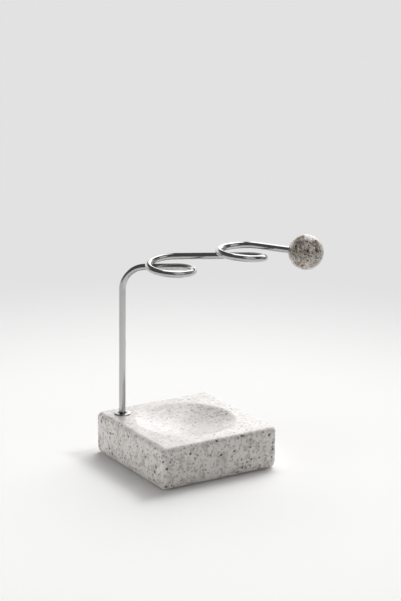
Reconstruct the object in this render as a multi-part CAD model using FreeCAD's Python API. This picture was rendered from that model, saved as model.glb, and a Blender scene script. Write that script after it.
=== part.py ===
import FreeCAD, Part
import math
import os
from FreeCAD import Vector

# Toothbrush holder. A square block of cast stone carries one bent steel rod. The rod rises as
# a post at one corner, bends over and crosses the block on its diagonal, winding two full loops
# on the way, and ends in a stone ball. A handle stands in the dish and leans in a loop.
# Millimetres. The origin is the middle of the rest face and +Z is up.

# Stone block
block_side = 70.0
block_height = 22.2
corner_round = 3.2
edge_round = 2.6
foot_rise = 4.2
foot_inset = 1.25
dish_margin = 9.0
dish_depth = 5.0
dish_lip_round = 6.0

# Soft pad glued into the underside
pad_thickness = 1.8
pad_proud = 0.7
pad_corner_round = 3.0
pad_cover = 0.9

# Steel rod
wire_diameter = 3.5
post_inset = 10.4
arm_height = 82.6
bend_radius = 13.0
rise_angle = 4.4
loop_radius = 11.6
first_loop_reach = 28.8
loop_spacing = 36.6
first_loop_tilt = -1.8
second_loop_tilt = 4.2
tail_bend_radius = 40.0
tail_dip_angle = 4.2
tail_run = 15.9
thread_crest = 0.25
thread_chamfer = 0.4
thread_above_seat = 2.0
thread_past_nut = 1.5

# Collar brazed round the foot of the post
flange_diameter = 9.2
flange_thickness = 0.6
flange_edge_round = 0.42
countersink = 0.4
spigot_wall = 1.2
spigot_length = 6.0

# Nut and washers that pull the collar down from below
washer_diameter = 9.0
washer_thickness = 0.8
spring_washer_diameter = 7.6
spring_washer_thickness = 0.9
spring_washer_split = 0.8
spring_washer_slant = 20.0
nut_sides = 6
nut_width = 7.0
nut_thickness = 3.2
nut_chamfer_angle = 30.0
spanner_room = 1.0
room_below_rod = 1.0

# Stone ball and the brass insert cast into it
ball_diameter = 18.2
ball_mouth_depth = 1.5
insert_wall = 1.0
insert_length = 8.0
insert_groove_width = 1.6
insert_groove_depth = 0.5
room_in_insert = 1.0

# Fits, each measured on the radius or on one side
braze_gap = 0.05
thread_fit = 0.05
washer_fit = 0.15
rod_hole_fit = 0.25
spigot_fit = 0.1
pad_fit = 0.2
insert_bond = 0.05
mouth_fit = 0.1

# Heights and diameters that follow from the sizes above
block_top = pad_proud + block_height
dish_diameter = block_side - 2 * dish_margin
thread_diameter = wire_diameter + 2 * thread_crest
spigot_diameter = wire_diameter + 2 * spigot_wall
insert_diameter = thread_diameter + 2 * insert_wall
nut_corners = nut_width / math.cos(math.pi / nut_sides)
pocket_diameter = max(washer_diameter, spring_washer_diameter, nut_corners) + 2 * spanner_room
pad_side = block_side - 2 * (post_inset - pocket_diameter / 2 - pad_cover)
rod_bottom = pad_thickness + room_below_rod
nut_bottom = rod_bottom + thread_past_nut
spring_washer_bottom = nut_bottom + nut_thickness
washer_bottom = spring_washer_bottom + spring_washer_thickness
washer_seat = washer_bottom + washer_thickness

# The rod's own directions: up, along the block's diagonal and away from the loops
up = Vector(0, 0, 1)
along = Vector(1, -1, 0).normalize()
aside = Vector(1, 1, 0).normalize()
post_reach = block_side / 2 - post_inset
post_foot = Vector(-post_reach, post_reach, 0)
rise = math.radians(rise_angle)
dip = math.radians(tail_dip_angle)
same_heading = 1e-9


def rod_point(reach, sideways, height):
    """A point given by its reach from the post, its offset sideways and its height."""
    return post_foot + along * reach + aside * sideways + up * height


def sloped(angle):
    """The direction along the arm that climbs at an angle, in radians."""
    return along * math.cos(angle) + up * math.sin(angle)


def loop_stations(start_reach, start_height, tilt_angle):
    """Places and headings at each quarter of a loop that climbs as steeply as the arm."""
    tilt = math.tan(math.radians(tilt_angle))
    stations = []
    for quarter in range(5):
        turn = quarter * math.pi / 2
        sideways = loop_radius * (math.cos(turn) - 1)
        height = start_height + loop_radius * turn * math.tan(rise) - sideways * tilt
        place = rod_point(start_reach + loop_radius * math.sin(turn), sideways, height)
        climb = math.tan(rise) + math.sin(turn) * tilt
        heading = along * math.cos(turn) - aside * math.sin(turn) + up * climb
        stations.append((place, heading.normalize()))
    return stations


def rod_stations():
    """Places and headings of the rod, from the top of its lower thread to its second thread."""
    loop_climb = 2 * math.pi * loop_radius * math.tan(rise)
    first_height = block_top + arm_height
    second_reach = first_loop_reach + loop_spacing
    second_height = first_height + loop_climb + loop_spacing * math.tan(rise)
    bend_reach = bend_radius * (1 - math.sin(rise))
    bend_height = first_height - (first_loop_reach - bend_reach) * math.tan(rise)
    post_top = bend_height - bend_radius * math.cos(rise)
    loops = loop_stations(first_loop_reach, first_height, first_loop_tilt)
    loops += loop_stations(second_reach, second_height, second_loop_tilt)
    tail_start = loops[-1][0]
    tail_reach = tail_bend_radius * (math.sin(rise) + math.sin(dip))
    tail_climb = tail_bend_radius * (math.cos(dip) - math.cos(rise))
    tail_place = tail_start + along * tail_reach + up * tail_climb
    heading = sloped(-dip)
    return [
        (rod_point(0, 0, washer_seat + thread_above_seat), up),
        (rod_point(0, 0, post_top), up),
        (rod_point(bend_reach, 0, bend_height), sloped(rise)),
        *loops,
        (tail_place, heading),
        (tail_place + heading * (tail_run + ball_mouth_depth), heading),
    ]


def tangent_arc(start, corner, end):
    """The circular arc from start to end whose two end tangents meet at the corner."""
    middle = (start + end) / 2
    flatness = (end - start).Length / (2 * (corner - start).Length)
    crown = middle + (corner - middle) * (flatness / (1 + flatness))
    return Part.Arc(start, crown, end).toShape()


def joined(first, second):
    """A straight edge between two stations in line, or else the two arcs of a biarc."""
    start, heading = first
    end, end_heading = second
    gap = end - start
    turning = 1 - heading.dot(end_heading)
    if turning < same_heading:
        return [Part.LineSegment(start, end).toShape()]
    pull = gap.dot(heading + end_heading)
    reach = (math.sqrt(pull ** 2 + 2 * turning * gap.dot(gap)) - pull) / (2 * turning)
    leaving = start + heading * reach
    arriving = end - end_heading * reach
    meeting = (leaving + arriving) / 2
    return [tangent_arc(start, leaving, meeting), tangent_arc(meeting, arriving, end)]


def rod_path():
    stations = rod_stations()
    edges = []
    for first, second in zip(stations, stations[1:]):
        edges += joined(first, second)
    return Part.Wire(edges)


def least_gap(path):
    """The narrowest gap between two turns of the rod, measured on points along its middle."""
    points_per_diameter = 5
    diameters_apart = 4
    points = path.discretize(Distance=wire_diameter / points_per_diameter)
    apart = points_per_diameter * diameters_apart
    pairs = ((p, q) for i, p in enumerate(points) for q in points[i + apart:])
    return min(p.distanceToPoint(q) for p, q in pairs) - wire_diameter


def threaded_end(start, heading, length):
    """The envelope of a rolled thread, chamfered at its free end."""
    radius = thread_diameter / 2
    shank_length = length - thread_chamfer
    shank = Part.makeCylinder(radius, shank_length, start, heading)
    tip_place = start + heading * shank_length
    tip = Part.makeCone(radius, radius - thread_chamfer, thread_chamfer, tip_place, heading)
    return shank.fuse(tip)


def wire_frame(path):
    start, heading = rod_stations()[0]
    section = Part.Wire(Part.makeCircle(wire_diameter / 2, start, heading))
    rod = path.makePipeShell([section], True, False)
    swept = math.pi * wire_diameter ** 2 / 4 * path.Length
    print("rod volume over section times length:", round(rod.Volume / swept, 5))
    print("least gap between turns of the rod:", round(least_gap(path), 2))
    lower_thread = threaded_end(start, -up, start.z - rod_bottom)
    end, end_heading = rod_stations()[-1]
    upper_thread = threaded_end(end, end_heading, insert_length - room_in_insert)
    return rod.fuse([lower_thread, upper_thread]).removeSplitter()


def square_plate(side, round_radius, bottom, thickness):
    """A square plate about the Z axis with its upright corners rounded."""
    plate = Part.makeBox(side, side, thickness, Vector(-side / 2, -side / 2, bottom))
    uprights = [edge for edge in plate.Edges if edge.BoundBox.ZLength > thickness / 2]
    return plate.makeFillet(round_radius, uprights)


def at_post(diameter, bottom, height):
    """A cylinder on the post's own axis."""
    return Part.makeCylinder(diameter / 2, height, post_foot + up * bottom)


def dish():
    """The ball-shaped cutter whose cap is the dish."""
    radius = ((dish_diameter / 2) ** 2 + dish_depth ** 2) / (2 * dish_depth)
    return Part.makeSphere(radius, Vector(0, 0, block_top - dish_depth + radius))


def side_section():
    """The section of the block's rim at the +X side: drawn-in foot, upright side and round top edge."""
    def rim_point(inset, height):
        return Vector(block_side / 2 - inset, 0, height)

    waist = pad_proud + foot_rise
    shoulder = block_top - edge_round
    foot_pull = (foot_rise ** 2 + foot_inset ** 2) / (2 * foot_rise)
    core_bottom, core_top = rim_point(edge_round, pad_proud), rim_point(edge_round, block_top)
    toe = rim_point(foot_inset, pad_proud)
    return Part.Wire([
        Part.LineSegment(core_bottom, toe).toShape(),
        tangent_arc(toe, rim_point(0, waist - foot_pull), rim_point(0, waist)),
        Part.LineSegment(rim_point(0, waist), rim_point(0, shoulder)).toShape(),
        tangent_arc(rim_point(0, shoulder), rim_point(0, block_top), core_top),
        Part.LineSegment(core_top, core_bottom).toShape(),
    ])


def block_blank():
    """The block before it is hollowed: its rim swept round a core."""
    plate = square_plate(block_side, corner_round, pad_proud, block_height)
    underside = min(plate.Faces, key=lambda face: face.CenterOfMass.z)
    rim = underside.OuterWire.makePipeShell([side_section()], True, False)
    core_side = block_side - 2 * edge_round
    core = square_plate(core_side, corner_round - edge_round, pad_proud, block_height)
    return core.fuse(rim).removeSplitter()


def base_block():
    block = block_blank().cut(dish())
    closed = [edge for edge in block.Edges if edge.isClosed()]
    lips = [edge for edge in closed if math.isclose(edge.Vertexes[0].Z, block_top)]
    block = block.makeFillet(dish_lip_round, lips)
    recess_side = pad_side + 2 * pad_fit
    recess = square_plate(recess_side, pad_corner_round + pad_fit, 0, pad_thickness)
    pocket = at_post(pocket_diameter, pad_proud, washer_seat - pad_proud)
    rod_hole = at_post(thread_diameter + 2 * rod_hole_fit, washer_seat, block_top - washer_seat)
    spigot_hole = at_post(spigot_diameter + 2 * spigot_fit, block_top - spigot_length, spigot_length)
    return block.cut([recess, pocket, rod_hole, spigot_hole])


def anti_slip_pad():
    return square_plate(pad_side, pad_corner_round, 0, pad_thickness)


def post_collar():
    flange = at_post(flange_diameter, block_top, flange_thickness)
    top_edge = [edge for edge in flange.Edges if edge.BoundBox.ZMin > block_top]
    flange = flange.makeFillet(flange_edge_round, top_edge)
    spigot_bottom = block_top - spigot_length + spigot_fit
    spigot = at_post(spigot_diameter, spigot_bottom, block_top - spigot_bottom)
    bore_length = spigot_length + flange_thickness
    bore_diameter = wire_diameter + 2 * braze_gap
    bore = at_post(bore_diameter, block_top - spigot_length, bore_length)
    mouth_place = post_foot + up * (block_top + flange_thickness - countersink)
    mouth = Part.makeCone(bore_diameter / 2, bore_diameter / 2 + countersink, countersink, mouth_place)
    return flange.fuse(spigot).cut([bore, mouth]).removeSplitter()


def ring(diameter, bottom, thickness):
    """A flat ring that slips over the lower thread."""
    bore = at_post(thread_diameter + 2 * washer_fit, bottom, thickness)
    return at_post(diameter, bottom, thickness).cut(bore)


def clamp_washer():
    return ring(washer_diameter, washer_bottom, washer_thickness)


def spring_washer():
    """A ring pressed flat, with its slanting split on the side away from the loops."""
    thickness = spring_washer_thickness
    corner = Vector(-spring_washer_split / 2, 0, -thickness)
    split = Part.makeBox(spring_washer_split, spring_washer_diameter, 3 * thickness, corner)
    split.rotate(Vector(0, 0, thickness / 2), Vector(0, 1, 0), spring_washer_slant)
    split.translate(post_foot + up * spring_washer_bottom)
    return ring(spring_washer_diameter, spring_washer_bottom, thickness).cut(split)


def clamp_nut():
    """A hexagon nut chamfered on both faces, with the thread left as a plain bore."""
    centre = post_foot + up * nut_bottom
    corners = [
        centre + Vector(math.cos(turn), math.sin(turn), 0) * (nut_corners / 2)
        for turn in (corner * 2 * math.pi / nut_sides for corner in range(nut_sides + 1))
    ]
    hexagon = Part.Face(Part.makePolygon(corners)).extrude(up * nut_thickness)
    drop = (nut_corners - nut_width) / 2 * math.tan(math.radians(nut_chamfer_angle))
    outline = Part.makePolygon([
        centre,
        centre + Vector(nut_width / 2, 0, 0),
        centre + Vector(nut_corners / 2, 0, drop),
        centre + Vector(nut_corners / 2, 0, nut_thickness - drop),
        centre + Vector(nut_width / 2, 0, nut_thickness),
        centre + Vector(0, 0, nut_thickness),
        centre,
    ])
    turned = Part.Face(outline).revolve(centre, up, 360)
    bore = at_post(thread_diameter + 2 * thread_fit, nut_bottom, nut_thickness)
    return hexagon.common(turned).cut(bore)


def insert_blank(growth):
    """The outside of the brass insert, with its anchoring groove, grown by a bond gap."""
    place, heading = rod_stations()[-1]
    radius = insert_diameter / 2 + growth
    length = insert_length + 2 * growth
    blank = Part.makeCylinder(radius, length, place - heading * growth, heading)
    groove_width = insert_groove_width - 2 * growth
    groove_start = place + heading * (insert_length - groove_width) / 2
    neck = Part.makeCylinder(radius - insert_groove_depth, groove_width, groove_start, heading)
    band = Part.makeCylinder(radius + insert_groove_depth, groove_width, groove_start, heading)
    return blank.cut(band.cut(neck))


def ball_insert():
    place, heading = rod_stations()[-1]
    bore_radius = thread_diameter / 2 + thread_fit
    return insert_blank(0).cut(Part.makeCylinder(bore_radius, insert_length, place, heading))


def finial_ball():
    place, heading = rod_stations()[-1]
    centre = place + heading * (ball_diameter / 2 - ball_mouth_depth)
    mouth_radius = thread_diameter / 2 + mouth_fit
    mouth_start = place - heading * ball_diameter / 2
    mouth = Part.makeCylinder(mouth_radius, ball_diameter / 2, mouth_start, heading)
    ball = Part.makeSphere(ball_diameter / 2, centre)
    return ball.cut([mouth, insert_blank(insert_bond)])


def main():
    os.makedirs("parts", exist_ok=True)
    path = rod_path()
    pieces = {
        "base_block": base_block(),
        "anti_slip_pad": anti_slip_pad(),
        "post_collar": post_collar(),
        "wire_frame": wire_frame(path),
        "clamp_washer": clamp_washer(),
        "spring_washer": spring_washer(),
        "clamp_nut": clamp_nut(),
        "finial_ball": finial_ball(),
        "ball_insert": ball_insert(),
    }
    for name, piece in pieces.items():
        print(name, "solids", len(piece.Solids), "valid", piece.isValid(), "mm3", round(piece.Volume, 1))
        piece.exportStep("parts/" + name + ".step")


main()
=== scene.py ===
import math

import bpy
from mathutils import Matrix, Vector, noise


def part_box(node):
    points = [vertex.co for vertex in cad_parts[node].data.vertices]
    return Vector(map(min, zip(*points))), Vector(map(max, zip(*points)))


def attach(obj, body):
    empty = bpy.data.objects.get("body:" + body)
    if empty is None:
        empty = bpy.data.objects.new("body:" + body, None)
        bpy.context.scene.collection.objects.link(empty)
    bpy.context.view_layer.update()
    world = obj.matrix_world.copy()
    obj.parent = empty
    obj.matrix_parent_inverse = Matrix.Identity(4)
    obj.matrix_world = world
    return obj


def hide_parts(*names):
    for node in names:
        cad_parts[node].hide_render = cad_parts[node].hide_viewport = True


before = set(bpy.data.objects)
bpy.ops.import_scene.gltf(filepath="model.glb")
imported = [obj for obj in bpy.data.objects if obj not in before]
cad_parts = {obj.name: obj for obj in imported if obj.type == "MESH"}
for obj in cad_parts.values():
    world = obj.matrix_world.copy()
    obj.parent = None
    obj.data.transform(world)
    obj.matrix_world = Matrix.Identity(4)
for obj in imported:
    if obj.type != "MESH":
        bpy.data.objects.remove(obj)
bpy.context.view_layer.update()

# A toothbrush holder: a speckled stone block with a dish, one bent steel rod with two loops, and a
# stone ball. Metres, in the frame's own axes: +Z up, X and Y along the block's sides.
mm = 0.001

# Heights read from the frame
block_low, block_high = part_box("base_block")
pad_low, pad_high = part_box("anti_slip_pad")
nut_low, nut_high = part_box("clamp_nut")
spring_low, spring_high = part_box("spring_washer")
washer_low, washer_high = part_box("clamp_washer")
collar_low, collar_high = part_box("post_collar")
rod_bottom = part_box("wire_frame")[0].z
block_top = block_high.z
block_half = block_high.x
washer_seat = washer_high.z

# Stone block
corner_round = 3.2 * mm
edge_round = 2.6 * mm
foot_rise = 4.2 * mm
foot_inset = 1.25 * mm
foot_ease = 0.25 * mm
dish_radius = 26.0 * mm
dish_depth = 5.0 * mm
dish_lip_round = 6.0 * mm
pad_fit = 0.2 * mm
pad_corner_round = 3.0 * mm
pad_draw = 0.25 * mm

# Steel rod
wire_radius = 1.75 * mm
arm_height = 82.6 * mm
bend_radius = 13.0 * mm
rise = math.radians(4.4)
loop_radius = 11.6 * mm
first_loop_reach = 28.8 * mm
loop_spacing = 36.6 * mm
first_loop_tilt = math.radians(-1.8)
second_loop_tilt = math.radians(4.2)
tail_bend_radius = 40.0 * mm
tail_dip = math.radians(4.2)
tail_run = 15.9 * mm
thread_pitch = 0.7 * mm
thread_crest = 0.25 * mm
thread_root = 0.18 * mm
thread_chamfer = 0.4 * mm
thread_above_seat = 2.0 * mm
thread_gap = 0.05 * mm
thread_lead_in = 0.15 * mm
thread_steps = 10

# Collar
flange_radius = 4.6 * mm
flange_thickness = 0.6 * mm
flange_edge_round = 0.42 * mm
countersink = 0.4 * mm
collar_ease = 0.12 * mm
spigot_radius = 2.95 * mm
collar_bore = 1.8 * mm
spigot_bore = 3.05 * mm

# Fixings under the block
pocket_radius = 5.5 * mm
rod_hole_radius = 2.25 * mm
washer_bore = 2.15 * mm
washer_ease = 0.12 * mm
spring_ease = 0.1 * mm
spring_split = math.radians(12)
spring_slant = math.radians(9)
nut_width = 7.0 * mm
nut_chamfer = math.radians(30)

# Ball and insert
ball_radius = 9.1 * mm
ball_mouth_depth = 1.5 * mm
ball_mouth_radius = 2.1 * mm
ball_mouth_ease = 0.2 * mm
insert_length = 8.0 * mm
insert_radius = 3.0 * mm
insert_bond = 0.05 * mm
insert_groove_width = 1.6 * mm
insert_groove_depth = 0.5 * mm
room_in_insert = 1.0 * mm
knurl_lines = 24
knurl_lead = 2.2 * mm
knurl_depth = 0.14 * mm

# Directions of the rod: up, along the block's diagonal and away from the loops
up = Vector((0, 0, 1))
along = Vector((1, -1, 0)).normalized()
aside = Vector((1, 1, 0)).normalized()
post_foot = Vector(((collar_low.x + collar_high.x) / 2, (collar_low.y + collar_high.y) / 2, 0))
tail_heading = along * math.cos(tail_dip) - up * math.sin(tail_dip)


# Node trees

class Field:
    """A socket of a node tree that plain arithmetic works on."""

    def __init__(self, tree, socket):
        self.tree = tree
        self.socket = socket

    def math(self, operation, *others):
        node = self.tree.nodes.new("ShaderNodeMath")
        node.operation = operation
        for socket, value in zip(node.inputs, (self, *others)):
            put(self.tree, socket, value)
        return Field(self.tree, node.outputs[0])

    def __add__(self, other):
        return self.math("ADD", other)

    def __sub__(self, other):
        return self.math("SUBTRACT", other)

    def __mul__(self, other):
        return self.math("MULTIPLY", other)

    def __truediv__(self, other):
        return self.math("DIVIDE", other)

    def vector(self, operation, other=None):
        node = self.tree.nodes.new("ShaderNodeVectorMath")
        node.operation = operation
        put(self.tree, node.inputs[0], self)
        if other is not None:
            put(self.tree, node.inputs["Scale" if operation == "SCALE" else 1], other)
        single = operation in ("DOT_PRODUCT", "LENGTH")
        return Field(self.tree, node.outputs["Value" if single else "Vector"])

    def between(self, low, high):
        """0 at low, 1 at high, smooth between and level beyond. Low may be the larger of the two."""
        node = self.tree.nodes.new("ShaderNodeMapRange")
        node.interpolation_type = "SMOOTHSTEP"
        for name, value in (("Value", self), ("From Min", low), ("From Max", high)):
            put(self.tree, node.inputs[name], value)
        return Field(self.tree, node.outputs["Result"])


def put(tree, socket, value):
    """Links a field to a socket, or sets the socket's own value."""
    if isinstance(value, Field):
        tree.links.new(value.socket, socket)
    elif isinstance(value, bpy.types.NodeSocket):
        tree.links.new(value, socket)
    else:
        socket.default_value = value


def add(tree, kind, output=0, settings=None, **inputs):
    """Adds a node, fills its inputs by name (spaces as underscores) and returns one output."""
    node = tree.nodes.new(kind)
    for name, value in (settings or {}).items():
        setattr(node, name, value)
    for name, value in inputs.items():
        put(tree, node.inputs[name.replace("_", " ")], value)
    return Field(tree, node.outputs[output])


def blended(tree, share, first, second):
    """One colour turning into another as the share goes from 0 to 1."""
    node = tree.nodes.new("ShaderNodeMix")
    node.data_type = "RGBA"
    colours = [socket for socket in node.inputs if socket.type == "RGBA"]
    put(tree, node.inputs["Factor"], share)
    put(tree, colours[0], first)
    put(tree, colours[1], second)
    return Field(tree, next(socket for socket in node.outputs if socket.type == "RGBA"))


# Finishes

def grey(level, warmth=0.0):
    """A grey with a little red added and a little blue taken away, as a node colour."""
    return (level * (1 + warmth), level, level * (1 - warmth), 1.0)


def new_material(name):
    """A material with its shader, as (material, node tree, shader node)."""
    material = bpy.data.materials.new(name)
    material.use_nodes = True
    tree = material.node_tree
    return material, tree, tree.nodes["Principled BSDF"]


def object_position(tree):
    return add(tree, "ShaderNodeTexCoord", "Object")


def noise_value(tree, position, size, detail=2.0, roughness=0.5):
    """Cloudy noise from 0 to 1 whose patches are about one size across, in metres."""
    return add(tree, "ShaderNodeTexNoise", "Fac", Vector=position, Scale=1 / size,
               Detail=detail, Roughness=roughness)


def warped(tree, position, size, amount):
    """Positions pushed about, so that round cells become ragged."""
    swirl = add(tree, "ShaderNodeTexNoise", "Color", Vector=position, Scale=1 / size, Detail=2.0)
    return position.vector("ADD", swirl.vector("SUBTRACT", (0.5, 0.5, 0.5)).vector("SCALE", amount))


def specks(tree, position, ground, cell, sizes, share, dark, light, edge):
    """Chips of stone over a ground colour: one to a cell, in a share of the cells.
    The chips' radii run between the two sizes, as parts of a cell. Returns colour and cover."""
    voronoi = tree.nodes.new("ShaderNodeTexVoronoi")
    put(tree, voronoi.inputs["Vector"], position)
    voronoi.inputs["Scale"].default_value = 1 / cell
    distance = Field(tree, voronoi.outputs["Distance"])
    chance = tree.nodes.new("ShaderNodeSeparateColor")
    put(tree, chance.inputs[0], voronoi.outputs["Color"])
    size, present, tone = [Field(tree, socket) for socket in chance.outputs]
    radius = size * (sizes[1] - sizes[0]) + sizes[0]
    cover = (radius - distance).between(0.0, edge) * present.math("LESS_THAN", share)
    chip = blended(tree, tone, dark, light)
    return blended(tree, cover, ground, chip), cover


def bumped(tree, height, depth):
    """A normal from a height field whose full range is this deep, in metres."""
    node = tree.nodes.new("ShaderNodeBump")
    node.inputs["Distance"].default_value = depth
    put(tree, node.inputs["Height"], height)
    return Field(tree, node.outputs[0])


# Sets the small grains apart from the large ones in the noise
grain_shift = (0.3, 0.1, 0.2)


def cast_stone():
    """Off-white cast stone: warm cloudy paste, soft grey grains and grey to black specks. Where the stone
    faces up, plain paste is painted over part of the grains and specks: painted light that pales the top as
    glare does."""
    material, tree, shader = new_material("cast_stone")
    place = object_position(tree)
    clouds = noise_value(tree, place, 7 * mm, 3.0)
    sand = noise_value(tree, place, 0.5 * mm, 4.0, 0.7)
    grains = noise_value(tree, place, 3.0 * mm, 2.0, 0.6)
    small_grains = noise_value(tree, place.vector("ADD", grain_shift), 1.7 * mm, 2.0, 0.6)
    paste = blended(tree, clouds.between(0.35, 0.65), grey(0.77, 0.055), grey(0.86, 0.04))
    ground = blended(tree, grains.between(0.48, 0.66), paste, grey(0.53, 0.075))
    ground = blended(tree, small_grains.between(0.52, 0.70), ground, grey(0.41, 0.075))
    ground = blended(tree, sand.between(0.58, 0.90), ground, grey(0.52, 0.05))
    ragged = warped(tree, place, 1.4 * mm, 1.2 * mm)
    fine, fine_cover = specks(
        tree, ragged, ground, cell=2.0 * mm, sizes=(0.14, 0.44), share=0.46,
        dark=grey(0.12, 0.05), light=grey(0.42, 0.06), edge=0.12)
    chipped = warped(tree, place, 0.8 * mm, 1.0 * mm)
    large, large_cover = specks(
        tree, chipped, fine, cell=2.7 * mm, sizes=(0.08, 0.37), share=0.80,
        dark=grey(0.015, 0.03), light=grey(0.14, 0.06), edge=0.10)
    # Painted light: where the stone faces up, a share of plain paste covers the grains and specks, paling the
    # top as glare does.
    level = add(tree, "ShaderNodeTexCoord", "Normal").vector("DOT_PRODUCT", tuple(up))
    painted_top_light_share = 0.36
    skin = level.between(0.55, 1.0) * painted_top_light_share
    put(tree, shader.inputs["Base Color"], blended(tree, skin, large, paste))
    cover = fine_cover.math("MAXIMUM", large_cover)
    put(tree, shader.inputs["Roughness"], (sand * 0.18 + 0.46) - cover * 0.14)
    put(tree, shader.inputs["Normal"], bumped(tree, sand * 0.35 + clouds - cover * 0.25, 0.06 * mm))
    shader.inputs["Specular IOR Level"].default_value = 0.35
    shader.inputs["Coat Weight"].default_value = 1.0
    shader.inputs["Coat Roughness"].default_value = 0.26
    return material


def ball_stone():
    """Darker cast stone: warm grey ground, crowded dark grains and near-black specks."""
    material, tree, shader = new_material("ball_stone")
    place = object_position(tree)
    clouds = noise_value(tree, place, 4 * mm, 3.0)
    sand = noise_value(tree, place, 0.45 * mm, 4.0, 0.7)
    grains = noise_value(tree, place, 1.5 * mm, 2.0, 0.6)
    small_grains = noise_value(tree, place.vector("ADD", grain_shift), 0.9 * mm, 2.0, 0.6)
    ground = blended(tree, clouds.between(0.35, 0.65), grey(0.31, 0.20), grey(0.64, 0.13))
    ground = blended(tree, grains.between(0.50, 0.62), ground, grey(0.19, 0.19))
    ground = blended(tree, small_grains.between(0.53, 0.63), ground, grey(0.09, 0.19))
    ground = blended(tree, sand.between(0.52, 0.80), ground, grey(0.25, 0.10))
    ragged = warped(tree, place, 0.8 * mm, 0.5 * mm)
    fine, fine_cover = specks(
        tree, ragged, ground, cell=1.3 * mm, sizes=(0.16, 0.44), share=0.55,
        dark=grey(0.03, 0.14), light=grey(0.16, 0.14), edge=0.1)
    large, large_cover = specks(
        tree, ragged, fine, cell=1.9 * mm, sizes=(0.18, 0.46), share=0.64,
        dark=grey(0.008, 0.10), light=grey(0.05, 0.10), edge=0.06)
    put(tree, shader.inputs["Base Color"], large)
    cover = fine_cover.math("MAXIMUM", large_cover)
    put(tree, shader.inputs["Roughness"], (sand * 0.14 + 0.20) - cover * 0.08)
    put(tree, shader.inputs["Normal"], bumped(tree, sand * 0.35 + clouds - cover * 0.25, 0.05 * mm))
    shader.inputs["Specular IOR Level"].default_value = 0.5
    shader.inputs["Coat Weight"].default_value = 1.0
    shader.inputs["Coat IOR"].default_value = 1.7
    shader.inputs["Coat Roughness"].default_value = 0.07
    return material


def drawn_steel():
    """Polished stainless rod with faint lines along its length, read in the rod's own space."""
    material, tree, shader = new_material("drawn_steel")
    straight = Field(tree, tree.nodes.new("ShaderNodeAttribute").outputs["Vector"])
    straight.socket.node.attribute_name = "rod_space"
    stretched = straight.vector("MULTIPLY", (1.0, 1.0, 0.02))
    lines = noise_value(tree, stretched, 0.35 * mm, 3.0, 0.6)
    patches = noise_value(tree, straight, 14 * mm, 3.0)
    put(tree, shader.inputs["Base Color"], blended(tree, patches, grey(0.45, 0.0), grey(0.54, 0.01)))
    put(tree, shader.inputs["Roughness"], lines * 0.08 + patches * 0.05 + 0.06)
    put(tree, shader.inputs["Normal"], bumped(tree, lines, 0.006 * mm))
    shader.inputs["Metallic"].default_value = 1.0
    return material


def turned_steel():
    """Polished steel with the faint rings that a lathe leaves. Shade is painted into its colour: near black
    in the seam round the post, and a little darker at its outer edge."""
    material, tree, shader = new_material("turned_steel")
    place = object_position(tree)
    radius = place.vector("SUBTRACT", tuple(post_foot)).vector("MULTIPLY", (1, 1, 0)).vector("LENGTH")
    ring_width = 0.12 * mm
    rings = add(tree, "ShaderNodeTexNoise", "Fac", {"noise_dimensions": "1D"}, W=radius, Scale=1 / ring_width)
    smears = noise_value(tree, place, 2 * mm, 3.0)
    bright = blended(tree, smears, grey(0.54), grey(0.64, 0.01))
    # Painted shade: near black in the seam round the post, and a fifth of the way to near black at the
    # flange's outer edge.
    painted_seam_shade = radius.between(2.7 * mm, 2.2 * mm)
    edge = radius.between(flange_radius - 0.45 * mm, flange_radius - 0.2 * mm)
    painted_shade = painted_seam_shade.math("MAXIMUM", edge * 0.2)
    put(tree, shader.inputs["Base Color"], blended(tree, painted_shade, bright, grey(0.05)))
    put(tree, shader.inputs["Roughness"], rings * 0.08 + smears * 0.06 + 0.05)
    put(tree, shader.inputs["Normal"], bumped(tree, rings, 0.004 * mm))
    shader.inputs["Metallic"].default_value = 1.0
    return material


def zinc_plate():
    """Bright zinc plating with a faint blue bloom."""
    material, tree, shader = new_material("zinc_plate")
    place = object_position(tree)
    bloom = noise_value(tree, place, 1.6 * mm, 4.0, 0.65)
    colour = blended(tree, bloom.between(0.35, 0.65), (0.52, 0.55, 0.60, 1), (0.66, 0.64, 0.60, 1))
    put(tree, shader.inputs["Base Color"], colour)
    put(tree, shader.inputs["Roughness"], bloom * 0.25 + 0.18)
    put(tree, shader.inputs["Normal"], bumped(tree, noise_value(tree, place, 0.2 * mm), 0.006 * mm))
    shader.inputs["Metallic"].default_value = 1.0
    return material


def machined_brass():
    """Machined brass with a little tarnish."""
    material, tree, shader = new_material("machined_brass")
    place = object_position(tree)
    tarnish = noise_value(tree, place, 1.2 * mm, 4.0)
    colour = blended(tree, tarnish.between(0.4, 0.7), (0.76, 0.57, 0.26, 1), (0.52, 0.36, 0.15, 1))
    put(tree, shader.inputs["Base Color"], colour)
    put(tree, shader.inputs["Roughness"], tarnish * 0.25 + 0.18)
    shader.inputs["Metallic"].default_value = 1.0
    return material


def foam_rubber():
    """Dark foam rubber with fine cells on its cut face."""
    material, tree, shader = new_material("foam_rubber")
    place = object_position(tree)
    cell_size = 0.35 * mm
    cells = add(tree, "ShaderNodeTexVoronoi", "Distance", Vector=place, Scale=1 / cell_size)
    dust = noise_value(tree, place, 6 * mm, 4.0)
    put(tree, shader.inputs["Base Color"], blended(tree, dust, grey(0.030), grey(0.060, 0.03)))
    put(tree, shader.inputs["Roughness"], cells * 0.2 + 0.70)
    put(tree, shader.inputs["Normal"], bumped(tree, cells, 0.08 * mm))
    shader.inputs["Specular IOR Level"].default_value = 0.25
    return material


# Meshes

def new_mesh(name, points, faces):
    mesh = bpy.data.meshes.new(name)
    mesh.from_pydata(points, [], faces)
    mesh.validate()
    return mesh


def new_object(name, mesh):
    made = bpy.data.objects.new(name, mesh)
    bpy.context.scene.collection.objects.link(made)
    return made


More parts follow.
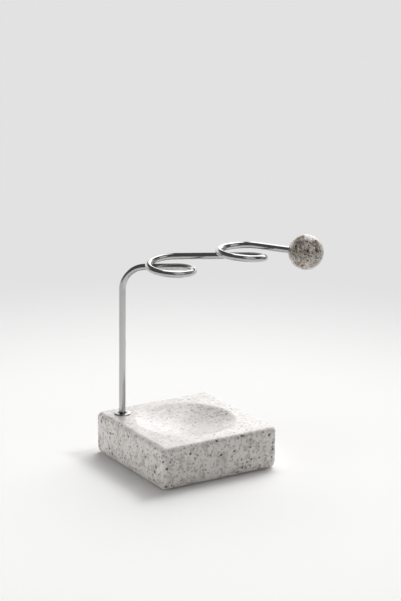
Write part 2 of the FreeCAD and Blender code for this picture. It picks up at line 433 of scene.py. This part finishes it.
def loft(name, rings, closed=False):
    """A skin through rings of equally many points. Its ends meet each other, or close at a pole."""
    count = len(rings[0])
    points = [point for ring in rings for point in ring]
    steps = len(rings) if closed else len(rings) - 1
    faces = []
    for step in range(steps):
        this, following = step * count, (step + 1) % len(rings) * count
        for i in range(count):
            j = (i + 1) % count
            faces.append((this + i, this + j, following + j, following + i))
    if not closed:
        for ring, flipped in ((0, True), (len(rings) - 1, False)):
            pole = len(points)
            points.append(sum(rings[ring], Vector()) / count)
            for i in range(count):
                edge = (ring * count + i, ring * count + (i + 1) % count)
                faces.append((*(reversed(edge) if flipped else edge), pole))
    return new_mesh(name, points, faces)


def turned(name, profile, sides, place, axis, closed=False):
    """A piece turned about an axis. The profile's points are (radius, height) with an optional rule
    that changes the radius by angle and height, the angle being measured from the aside direction."""
    across = axis.cross(aside)
    rings = []
    for radius, height, *rule in profile:
        ring = []
        for i in range(sides):
            angle = 2 * math.pi * i / sides
            out = rule[0](radius, angle, height) if rule else radius
            ring.append(place + axis * height + (aside * math.cos(angle) + across * math.sin(angle)) * out)
        rings.append(ring)
    return loft(name, rings, closed)


def rounded(centre, radius, start, end, steps):
    """Points of an arc in a profile, between two angles in degrees."""
    angles = [math.radians(start + (end - start) * i / steps) for i in range(steps + 1)]
    return [(centre[0] + radius * math.cos(a), centre[1] + radius * math.sin(a)) for a in angles]


def smoothed(mesh, degrees=35):
    mesh.shade_smooth()
    mesh.set_sharp_from_angle(angle=math.radians(degrees))
    return mesh


def settled(made):
    """Turns what the modifiers give into the object's plain mesh."""
    graph = bpy.context.evaluated_depsgraph_get()
    mesh = bpy.data.meshes.new_from_object(made.evaluated_get(graph))
    made.modifiers.clear()
    made.data = mesh
    return made


def cut(made, cutter_mesh):
    """Takes a cutter's shape out of a piece."""
    cutter = new_object("cutter", cutter_mesh)
    modifier = made.modifiers.new("cut", "BOOLEAN")
    modifier.operation = "DIFFERENCE"
    modifier.solver = "MANIFOLD"
    modifier.object = cutter
    settled(made)
    bpy.data.objects.remove(cutter)
    return made


def finished(made, material, node):
    """Gives a piece its finish and its place in the frame."""
    made.data.materials.clear()
    made.data.materials.append(material)
    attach(made, "root")
    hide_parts(node)
    return made


# Stone block

side_steps = 72
corner_steps = 22


def square_outline(half, corner, height):
    """Points round a square with rounded corners, anticlockwise, at one height."""
    straight = half - corner
    outline = []
    for quarter in range(4):
        turn = Matrix.Rotation(quarter * math.pi / 2, 3, "Z")
        for i in range(side_steps):
            outline.append(turn @ Vector((half, straight * (2 * i / side_steps - 1), height)))
        for i in range(corner_steps):
            a = math.pi / 2 * i / corner_steps
            x, y = straight + corner * math.cos(a), straight + corner * math.sin(a)
            outline.append(turn @ Vector((x, y, height)))
    return outline


def circle_outline(radius, height):
    """Points round a circle, each in the direction of its fellow on the block's outline."""
    flat = square_outline(block_half, corner_round, 0)
    return [point.normalized() * radius + up * height for point in flat]


def rim_outline(inset, height):
    """The block's own outline, drawn in by an inset."""
    return square_outline(block_half - inset, corner_round - inset, height)


def arc_outlines(radius, middle, start, end, steps):
    """Outlines over an arc of the rim's section, between two angles from level in degrees."""
    angles = [math.radians(start + (end - start) * i / steps) for i in range(steps + 1)]
    return [rim_outline(radius * (1 - math.cos(a)), middle + radius * math.sin(a)) for a in angles]


def dish_profile():
    """(radius, height) over the dish's lip and down its bowl, towards the middle."""
    bowl = (dish_radius ** 2 + dish_depth ** 2) / (2 * dish_depth)
    bowl_height = block_top - dish_depth + bowl
    lip_height = block_top - dish_lip_round
    lip_reach = math.sqrt((bowl + dish_lip_round) ** 2 - (bowl_height - lip_height) ** 2)
    slope = math.degrees(math.asin(lip_reach / (bowl + dish_lip_round)))
    lip_steps, bowl_steps = 8, 46
    near_pole = -89.5
    lip = rounded((lip_reach, lip_height), dish_lip_round, 90, 90 + slope, lip_steps)
    return lip + rounded((0, bowl_height), bowl, slope - 90, near_pole, bowl_steps)[1:]


def stone_block():
    """The block as one skin from the pad's recess, round the sides and into the dish."""
    recess_half = pad_high.x + pad_fit
    recess_round = pad_corner_round + pad_fit
    recess_steps, recess_circles = 12, 9
    foot_steps, rise_steps, edge_steps, flat_steps = 10, 26, 12, 10
    rings = []
    for i in range(1, recess_circles + 1):
        rings.append(circle_outline(recess_half * i / recess_steps, pad_high.z))
    rings.append(square_outline(recess_half, recess_round, pad_high.z))
    rings.append(square_outline(recess_half, recess_round, block_low.z))
    rings.append(rim_outline(foot_inset + foot_ease, block_low.z))
    foot_round = (foot_rise ** 2 + foot_inset ** 2) / (2 * foot_inset)
    foot_angle = math.degrees(math.asin((foot_rise - foot_ease) / foot_round))
    side_low, side_high = block_low.z + foot_rise, block_top - edge_round
    rings += arc_outlines(foot_round, side_low, -foot_angle, 0, foot_steps)
    for i in range(1, rise_steps):
        rings.append(rim_outline(0, side_low + (side_high - side_low) * i / rise_steps))
    rings += arc_outlines(edge_round, side_high, 0, 90, edge_steps)
    bowl = dish_profile()
    rim, lip = rings[-1], circle_outline(*bowl[0])
    for i in range(1, flat_steps):
        rings.append([a.lerp(b, i / flat_steps) for a, b in zip(rim, lip)])
    rings += [circle_outline(radius, height) for radius, height in bowl]
    made = new_object("stone_block", loft("stone_block", rings))
    weather(made.data)
    for low, high, radius in (
        (pad_low.z, washer_seat, pocket_radius),
        (washer_seat - pocket_radius / 2, block_top + flange_thickness, rod_hole_radius),
        (collar_low.z, block_top + flange_thickness, spigot_bore),
    ):
        cut(made, turned("bore", [(radius, low), (radius, high)], sides=64, place=post_foot, axis=up))
    smoothed(made.data)
    return finished(made, cast_stone(), "base_block")


def weather(mesh):
    """Lets the hand-finished faces wander a few hundredths of a millimetre off true."""
    wander, wander_size = 0.05 * mm, 11 * mm
    ripple, ripple_size = 0.012 * mm, 1.7 * mm
    normals = [normal.vector.copy() for normal in mesh.vertex_normals]
    for vertex, normal in zip(mesh.vertices, normals):
        share = min(1.0, (vertex.co.z - pad_high.z) / foot_rise)
        if share > 0:
            long_wave = noise.noise(vertex.co / wander_size) * wander
            short_wave = noise.noise(vertex.co / ripple_size) * ripple
            vertex.co += normal * (long_wave + short_wave - wander) * share


# Steel rod

def arc_points(centre, start, heading, turn, step):
    """Points of an arc round a centre, leaving start along its heading."""
    out = start - centre
    count = max(2, round(out.length * turn / step))
    angles = [turn * i / count for i in range(1, count + 1)]
    return [centre + out * math.cos(a) + heading * (out.length * math.sin(a)) for a in angles]


def straight_points(start, end, step):
    count = max(1, round((end - start).length / step))
    return [start.lerp(end, i / count) for i in range(1, count + 1)]


def loop_points(start, tilt, step):
    """Points of one climbing turn, clockwise from above, with its front lifted by a tilt."""
    count = round(2 * math.pi * loop_radius / step)
    points = []
    for i in range(1, count + 1):
        turn = 2 * math.pi * i / count
        sideways = loop_radius * (math.cos(turn) - 1)
        climb = loop_radius * turn * math.tan(rise) - sideways * math.tan(tilt)
        points.append(start + along * (loop_radius * math.sin(turn)) + aside * sideways + up * climb)
    return points


def rod_route():
    """Points along the middle of the rod, close together where it is threaded."""
    step = 0.5 * mm
    fine = thread_pitch / thread_steps
    arm = along * math.cos(rise) + up * math.sin(rise)
    first = post_foot + along * first_loop_reach + up * (block_top + arm_height)
    bend_reach = bend_radius * (1 - math.sin(rise))
    bend_end = first - (along + up * math.tan(rise)) * (first_loop_reach - bend_reach)
    post_top = post_foot + up * (bend_end.z - bend_radius * math.cos(rise))
    route = [post_foot + up * rod_bottom]
    route += straight_points(route[-1], post_foot + up * (washer_seat + thread_above_seat), fine)
    route += straight_points(route[-1], post_top, step)
    route += arc_points(post_top + along * bend_radius, post_top, up, math.pi / 2 - rise, step)
    route += straight_points(route[-1], first, step)
    route += loop_points(first, first_loop_tilt, step)
    route += straight_points(route[-1], route[-1] + (along + up * math.tan(rise)) * loop_spacing, step)
    route += loop_points(route[-1], second_loop_tilt, step)
    crown = up * math.cos(rise) - along * math.sin(rise)
    route += arc_points(route[-1] - crown * tail_bend_radius, route[-1], arm, rise + tail_dip, step)
    route += straight_points(route[-1], route[-1] + tail_heading * (tail_run + ball_mouth_depth), step)
    route += straight_points(route[-1], route[-1] + tail_heading * (insert_length - room_in_insert), fine)
    return route


def route_length(route):
    return sum((b - a).length for a, b in zip(route, route[1:]))


def thread_height(phase):
    """The share of a thread's height at a place in its pitch, for numbers and fields alike."""
    wave = phase.math("PINGPONG", 0.5) if isinstance(phase, Field) else 0.5 - abs(phase % 1 - 0.5)
    return wave * 2


def rod_tree():
    """Geometry nodes that sweep a wire along a path and roll a thread on each end."""
    tree = bpy.data.node_groups.new("bent_rod", "GeometryNodeTree")
    face = tree.interface
    face.new_socket("Path", in_out="INPUT", socket_type="NodeSocketGeometry")
    for name in ("Wire Radius", "Lower Thread", "Upper Thread", "Pitch", "Crest", "Root", "Chamfer"):
        face.new_socket(name, in_out="INPUT", socket_type="NodeSocketFloat")
    face.new_socket("Sides", in_out="INPUT", socket_type="NodeSocketInt")
    face.new_socket("Finish", in_out="INPUT", socket_type="NodeSocketMaterial")
    face.new_socket("Rod", in_out="OUTPUT", socket_type="NodeSocketGeometry")
    given = {socket.name: Field(tree, socket) for socket in tree.nodes.new("NodeGroupInput").outputs}

    curve = add(tree, "GeometryNodeMeshToCurve", Mesh=given["Path"])
    measure = tree.nodes.new("GeometryNodeCaptureAttribute")
    measure.domain = "POINT"
    for kind, name in (("FLOAT", "Along"), ("VECTOR", "Middle"), ("VECTOR", "Tangent")):
        measure.capture_items.new(kind, name)
    put(tree, measure.inputs["Geometry"], curve)
    put(tree, measure.inputs["Along"], add(tree, "GeometryNodeSplineParameter", "Length"))
    put(tree, measure.inputs["Middle"], add(tree, "GeometryNodeInputPosition"))
    put(tree, measure.inputs["Tangent"], add(tree, "GeometryNodeInputTangent"))
    length = add(tree, "GeometryNodeCurveLength", Curve=curve)
    circle = add(tree, "GeometryNodeCurvePrimitiveCircle",
                 Resolution=given["Sides"], Radius=given["Wire Radius"])
    swept = add(tree, "GeometryNodeCurveToMesh", Curve=measure.outputs["Geometry"], Profile_Curve=circle)
    swept.socket.node.inputs["Fill Caps"].default_value = True

    s = Field(tree, measure.outputs["Along"])
    tangent = Field(tree, measure.outputs["Tangent"])
    out = add(tree, "GeometryNodeInputPosition").vector("SUBTRACT", measure.outputs["Middle"])
    east = out.vector("DOT_PRODUCT", tuple(aside))
    north = out.vector("DOT_PRODUCT", tangent.vector("CROSS_PRODUCT", tuple(aside)))
    phase = s / given["Pitch"] - north.math("ARCTAN2", east) / (2 * math.pi)
    rolled = thread_height(phase) * (given["Crest"] + given["Root"]) - given["Root"]
    left = length - s
    fade = given["Pitch"]
    lower = (given["Lower Thread"] - s).between(0.0, fade)
    upper = (given["Upper Thread"] - left).between(0.0, fade)
    threaded = lower.math("MAXIMUM", upper)
    tip = s.math("MINIMUM", left)
    chamfer = (given["Chamfer"] - tip).math("MAXIMUM", 0.0)
    growth = rolled * threaded - chamfer
    offset = out.vector("NORMALIZE").vector("SCALE", growth)
    shaped = add(tree, "GeometryNodeSetPosition", Geometry=swept, Offset=offset)

    straight = add(tree, "ShaderNodeCombineXYZ", X=east, Y=north, Z=s)
    kind = {"data_type": "FLOAT_VECTOR", "domain": "POINT"}
    stored = add(tree, "GeometryNodeStoreNamedAttribute", settings=kind,
                 Geometry=shaped, Name="rod_space", Value=straight)
    real = add(tree, "GeometryNodeRealizeInstances", Geometry=stored)
    dressed = add(tree, "GeometryNodeSetMaterial", Geometry=real, Material=given["Finish"])
    put(tree, tree.nodes.new("NodeGroupOutput").inputs["Rod"], dressed)
    return tree


def set_inputs(modifier, **values):
    """Sets a node modifier's inputs, named with underscores for spaces."""
    sockets = {item.name: item.identifier for item in modifier.node_group.interface.items_tree}
    for name, value in values.items():
        modifier[sockets[name.replace("_", " ")]] = value


def loop_rod():
    route = rod_route()
    mesh = bpy.data.meshes.new("rod_path")
    mesh.from_pydata(route, [(i, i + 1) for i in range(len(route) - 1)], [])
    made = new_object("loop_rod", mesh)
    modifier = made.modifiers.new("bent_rod", "NODES")
    modifier.node_group = rod_tree()
    steel = drawn_steel()
    set_inputs(
        modifier, Wire_Radius=wire_radius, Lower_Thread=washer_seat + thread_above_seat - rod_bottom,
        Upper_Thread=insert_length - room_in_insert, Pitch=thread_pitch, Crest=thread_crest,
        Root=thread_root, Chamfer=thread_chamfer, Sides=32, Finish=steel,
    )
    settled(made)
    smoothed(made.data, degrees=50)
    return finished(made, steel, "wire_frame")


# Collar, pad and fixings

def foot_collar():
    """The flange and its spigot, turned in one piece with a soft top edge and an eased bore."""
    low, top = collar_low.z, collar_high.z
    rim_middle = (flange_radius - flange_edge_round, top - flange_edge_round)
    rim = rounded(rim_middle, flange_edge_round, 0, 90, steps=8)
    profile = [
        (collar_bore, low), (spigot_radius - collar_ease, low), (spigot_radius, low + collar_ease),
        (spigot_radius, block_top), (flange_radius, block_top), *rim,
        (collar_bore + countersink, top), (collar_bore, top - countersink),
    ]
    mesh = turned("foot_collar", profile, sides=96, place=post_foot, axis=up, closed=True)
    made = new_object("foot_collar", smoothed(mesh))
    return finished(made, turned_steel(), "post_collar")


def soft_pad():
    """The foam pad, die-cut with a slightly drawn-in edge."""
    half = pad_high.x
    thickness = pad_high.z - pad_low.z
    face_steps = 12
    edge_section = [(0.0, 0.35), (0.5, 0.0), (1.0, 0.35)]
    shares = [i / face_steps for i in range(1, face_steps)]
    rings = [square_outline(half * share, pad_corner_round * share, pad_low.z) for share in shares]
    for share, inset in edge_section:
        rings.append(square_outline(half - pad_draw * inset, pad_corner_round, pad_low.z + thickness * share))
    rings += [square_outline(half * share, pad_corner_round * share, pad_high.z)
              for share in reversed(shares)]
    made = new_object("soft_pad", smoothed(loft("soft_pad", rings)))
    finished(made, foam_rubber(), "anti_slip_pad")
    return made


def ring_profile(inner, outer, low, high, ease):
    """A flat ring's section with eased outer edges."""
    return [
        (inner, low), (outer - ease, low), (outer, low + ease),
        (outer, high - ease), (outer - ease, high), (inner, high),
    ]


def flat_washer():
    outer = washer_high.x - post_foot.x
    profile = ring_profile(washer_bore, outer, washer_low.z, washer_high.z, washer_ease)
    mesh = turned("flat_washer", profile, sides=72, place=post_foot, axis=up, closed=True)
    made = new_object("flat_washer", smoothed(mesh))
    return finished(made, zinc_plate(), "clamp_washer")


def split_washer():
    """A ring with a slanting split, its section turned nearly all the way round."""
    outer = spring_high.x - post_foot.x
    steps = 72
    section = ring_profile(washer_bore, outer, spring_low.z, spring_high.z, spring_ease)[::-1]
    middle = (spring_low.z + spring_high.z) / 2
    depth = spring_high.z - spring_low.z
    rings = []
    for i in range(steps + 1):
        share = i / steps
        ring = []
        for radius, height in section:
            lean = spring_slant * (height - middle) / depth
            angle = math.pi / 4 + spring_split / 2 + (2 * math.pi - spring_split) * share + lean
            outward = aside * math.cos(angle) - along * math.sin(angle)
            ring.append(post_foot + outward * radius + up * height)
        rings.append(ring)
    made = new_object("split_washer", smoothed(loft("split_washer", rings)))
    return finished(made, zinc_plate(), "spring_washer")


def inner_thread(start):
    """A rule for a threaded bore that meshes with the rod, whose thread starts at a height."""
    def rule(radius, angle, height):
        share = thread_height((height - start) / thread_pitch - angle / (2 * math.pi))
        return radius + (thread_crest + thread_root) * share
    return rule


def threaded_bore(low, high, start):
    """A profile up a threaded bore, opened out at both ends."""
    count = round((high - low) / thread_pitch * thread_steps)
    root = wire_radius - thread_root + thread_gap
    rule = inner_thread(start)
    middle = [low + (high - low) * i / count for i in range(1, count)]
    mouth = wire_radius + thread_crest + thread_lead_in
    first, last = low + thread_lead_in, high - thread_lead_in
    inside = [(root, height, rule) for height in middle if first < height < last]
    return [(mouth, low), *inside, (mouth, high)]


def hex_nut():
    """A chamfered hexagon nut with its thread."""
    flats = nut_width / 2
    corners = flats / math.cos(math.pi / 6)
    face_radius = flats * 0.97
    height = nut_high.z - nut_low.z

    def hexagon(radius, angle, _):
        return min(radius, flats / math.cos((angle + math.pi / 4) % (math.pi / 3) - math.pi / 6))

    drop = (corners - flats) * math.tan(nut_chamfer)
    outside = []
    for share in (0.0, 0.25, 0.5, 0.75, 1.0):
        radius = face_radius + (corners - face_radius) * share
        outside.append((radius, nut_low.z + drop * share, hexagon))
    outside += [(radius, nut_low.z + height - (z - nut_low.z), rule) for radius, z, rule in reversed(outside)]
    bore = threaded_bore(nut_low.z, nut_high.z, rod_bottom)
    profile = outside + list(reversed(bore))
    mesh = turned("hex_nut", profile, sides=120, place=post_foot, axis=up, closed=True)
    made = new_object("hex_nut", smoothed(mesh, degrees=30))
    return finished(made, zinc_plate(), "clamp_nut")


# Ball and insert

def insert_outline(growth):
    """(radius, height) up the outside of the insert, with its groove, grown by a bond gap."""
    outer = insert_radius + growth
    neck = outer - insert_groove_depth
    low = (insert_length - insert_groove_width) / 2 + growth
    high = insert_length - low
    ends = (-growth, insert_length + growth)
    return [(outer, ends[0]), (outer, low), (neck, low), (neck, high), (outer, high), (outer, ends[1])]


def speckled_ball(mouth_place):
    """The ball, with its mouth and the hollow that is cast round the insert."""
    centre_height = ball_radius - ball_mouth_depth
    near_pole = 89.5
    mouth_angle = math.degrees(math.asin((ball_mouth_radius + ball_mouth_ease) / ball_radius))
    skin = rounded((0, centre_height), ball_radius, near_pole, mouth_angle - 90, steps=90)
    mouth = [(ball_mouth_radius, skin[-1][1] + ball_mouth_ease), (ball_mouth_radius, -insert_bond)]
    profile = skin + mouth + insert_outline(insert_bond)
    mesh = turned("speckled_ball", profile, sides=128, place=mouth_place, axis=tail_heading)
    made = new_object("speckled_ball", mesh)
    made.data.flip_normals()
    smoothed(made.data)
    return finished(made, ball_stone(), "finial_ball")


def brass_insert(mouth_place, thread_start):
    """The knurled insert: crossed grooves on its bands and a thread in its bore."""
    def knurl(radius, angle, height):
        turn = knurl_lines * angle / (2 * math.pi)
        climb = height / knurl_lead * 2
        valley = max(thread_height(turn + climb), thread_height(turn - climb))
        return radius - knurl_depth * (1 - valley)

    band_steps = 18
    outside = []
    bands = insert_outline(0)
    for (radius, low), (_, high) in zip(bands[0::2], bands[1::2]):
        grooved = radius > insert_radius - insert_groove_depth / 2
        steps = band_steps if grooved else 1
        for i in range(steps + 1):
            height = low + (high - low) * i / steps
            outside.append((radius, height, knurl) if grooved else (radius, height))
    bore = threaded_bore(0, insert_length, -thread_start)
    profile = outside + list(reversed(bore))
    mesh = turned("brass_insert", profile, sides=144, place=mouth_place, axis=tail_heading, closed=True)
    made = new_object("brass_insert", smoothed(mesh, degrees=30))
    return finished(made, machined_brass(), "ball_insert")


# Stage, light and camera

def studio_floor():
    """A pale floor: white round the object, where it takes the shadow, and pale grey further off.
    A weak glow lifts the white. It fades out by the block, later on the side of the shadow: a painted shadow
    that deepens the real one."""
    half = 3.0
    white_reach, grey_reach = 0.13, 0.40
    painted_shadow_shift, painted_shadow_edge = 9 * mm, 12 * mm
    corners = [(-half, -half, 0), (half, -half, 0), (half, half, 0), (-half, half, 0)]
    floor = new_object("floor", new_mesh("floor", corners, [(0, 1, 2, 3)]))
    material, tree, shader = new_material("studio_floor")
    place = object_position(tree)
    far = place.vector("LENGTH").between(white_reach, grey_reach)
    shader.inputs["Base Color"].default_value = grey(0.90, 0.012)
    shader.inputs["Roughness"].default_value = 0.9
    shader.inputs["Specular IOR Level"].default_value = 0.1
    rays = tree.nodes.new("ShaderNodeLightPath")
    seen = Field(tree, rays.outputs["Is Camera Ray"])
    for name in ("Is Glossy Ray", "Is Transmission Ray"):
        seen = seen.math("MAXIMUM", rays.outputs[name])
    # Painted shadow: the glow is taken away round the block, reaching further out on the shadow's side.
    painted_shadow_place = place.vector("ADD", (painted_shadow_shift, 0, 0))
    sides = [painted_shadow_place.vector("DOT_PRODUCT", side).math("ABSOLUTE") for side in ((1, 0, 0), (0, 1, 0))]
    clear = sides[0].math("MAXIMUM", sides[1]).between(block_half, block_half + painted_shadow_edge)
    plain = add(tree, "ShaderNodeEmission", Color=grey(0.76), Strength=1.0)
    glow_with_painted_shadow = add(tree, "ShaderNodeEmission", Color=grey(0.20), Strength=seen * clear)
    near = tree.nodes.new("ShaderNodeAddShader")
    for socket, value in zip(near.inputs, (shader.outputs[0], glow_with_painted_shadow)):
        put(tree, socket, value)
    mix = tree.nodes.new("ShaderNodeMixShader")
    for socket, value in zip(mix.inputs, (far * seen, near.outputs[0], plain)):
        put(tree, socket, value)
    put(tree, tree.nodes["Material Output"].inputs["Surface"], mix.outputs[0])
    floor.data.materials.append(material)


def studio_world(front):
    """A dim room that is pale low down at the back, with a bright window there."""
    pale, dark, window = grey(1.25), grey(0.10), grey(2.4)
    world = bpy.data.worlds.new("studio")
    bpy.context.scene.world = world
    world.use_nodes = True
    tree = world.node_tree
    direction = add(tree, "ShaderNodeTexCoord", "Generated").vector("NORMALIZE")
    towards = direction.vector("DOT_PRODUCT", tuple(front))
    height = direction.vector("DOT_PRODUCT", tuple(up))
    dim = towards.between(-0.80, -0.10).math("MAXIMUM", height.between(0.28, 0.52))
    colour = blended(tree, dim, pale, dark)
    sideways = direction.vector("DOT_PRODUCT", tuple(along))
    behind = direction.vector("DOT_PRODUCT", tuple(aside))
    pane = sideways.between(-0.25, -0.17) * height.between(0.05, 0.25) * behind.between(0.05, 0.25)
    pane = pane - pane * sideways.between(0.30, 0.45)
    put(tree, tree.nodes["Background"].inputs["Color"], blended(tree, pane, colour, window))
    tree.nodes["Background"].inputs["Strength"].default_value = 1.0


daylight = (0.975, 0.99, 1.0)


def soft_light(name, direction, distance, width, height, power, target, shine=True):
    """A soft box that faces a target from a direction, seen in gloss or not."""
    lamp = bpy.data.lights.new(name, "AREA")
    lamp.shape = "RECTANGLE"
    lamp.size = width
    lamp.size_y = height
    lamp.energy = power
    lamp.color = daylight
    made = new_object(name, lamp)
    made.visible_glossy = shine
    made.location = target + Vector(direction).normalized() * distance
    made.rotation_euler = (target - made.location).to_track_quat("-Z", "Y").to_euler()


def studio_camera():
    """A camera where the view of the object was taken from."""
    image_height = 601
    focal_pixels = 1812.613
    back = Vector((-0.51757, -0.81339, 0.26545))
    place = Vector((-481.1, -768.9, 337.6)) * mm
    roll = math.radians(0.762)
    level = up.cross(back).normalized()
    rise_axis = back.cross(level)
    right = level * math.cos(roll) + rise_axis * math.sin(roll)
    upward = rise_axis * math.cos(roll) - level * math.sin(roll)
    data = bpy.data.cameras.new("camera")
    data.sensor_width = 36.0
    data.lens = data.sensor_width * focal_pixels / image_height
    camera = new_object("camera", data)
    camera.matrix_world = Matrix((right, upward, back)).transposed().to_4x4()
    camera.location = place
    bpy.context.scene.camera = camera


def main():
    stone_block()
    loop_rod()
    foot_collar()
    soft_pad()
    flat_washer()
    split_washer()
    hex_nut()
    route = rod_route()
    threaded = insert_length - room_in_insert
    mouth_place = route[-1] - tail_heading * threaded
    speckled_ball(mouth_place)
    brass_insert(mouth_place, route_length(route) - threaded)
    front = Vector((-0.537, -0.844, 0))
    studio_floor()
    studio_world(front)
    middle = Vector((0, 0, 0.05))
    soft_light("key", direction=(0.52, 0.37, 0.80), distance=1.6, width=1.15, height=1.25,
               power=8.3, target=middle, shine=False)
    soft_light("left_fill", direction=(-1.0, 0.05, 0.3), distance=1.3, width=1.0, height=0.7,
               power=4.2, target=middle, shine=False)
    soft_light("right_fill", direction=(0.25, -1.0, 0.7), distance=1.3, width=1.0, height=1.0,
               power=2.0, target=middle)
    studio_camera()
    bpy.context.scene.view_settings.view_transform = "Standard"


main()
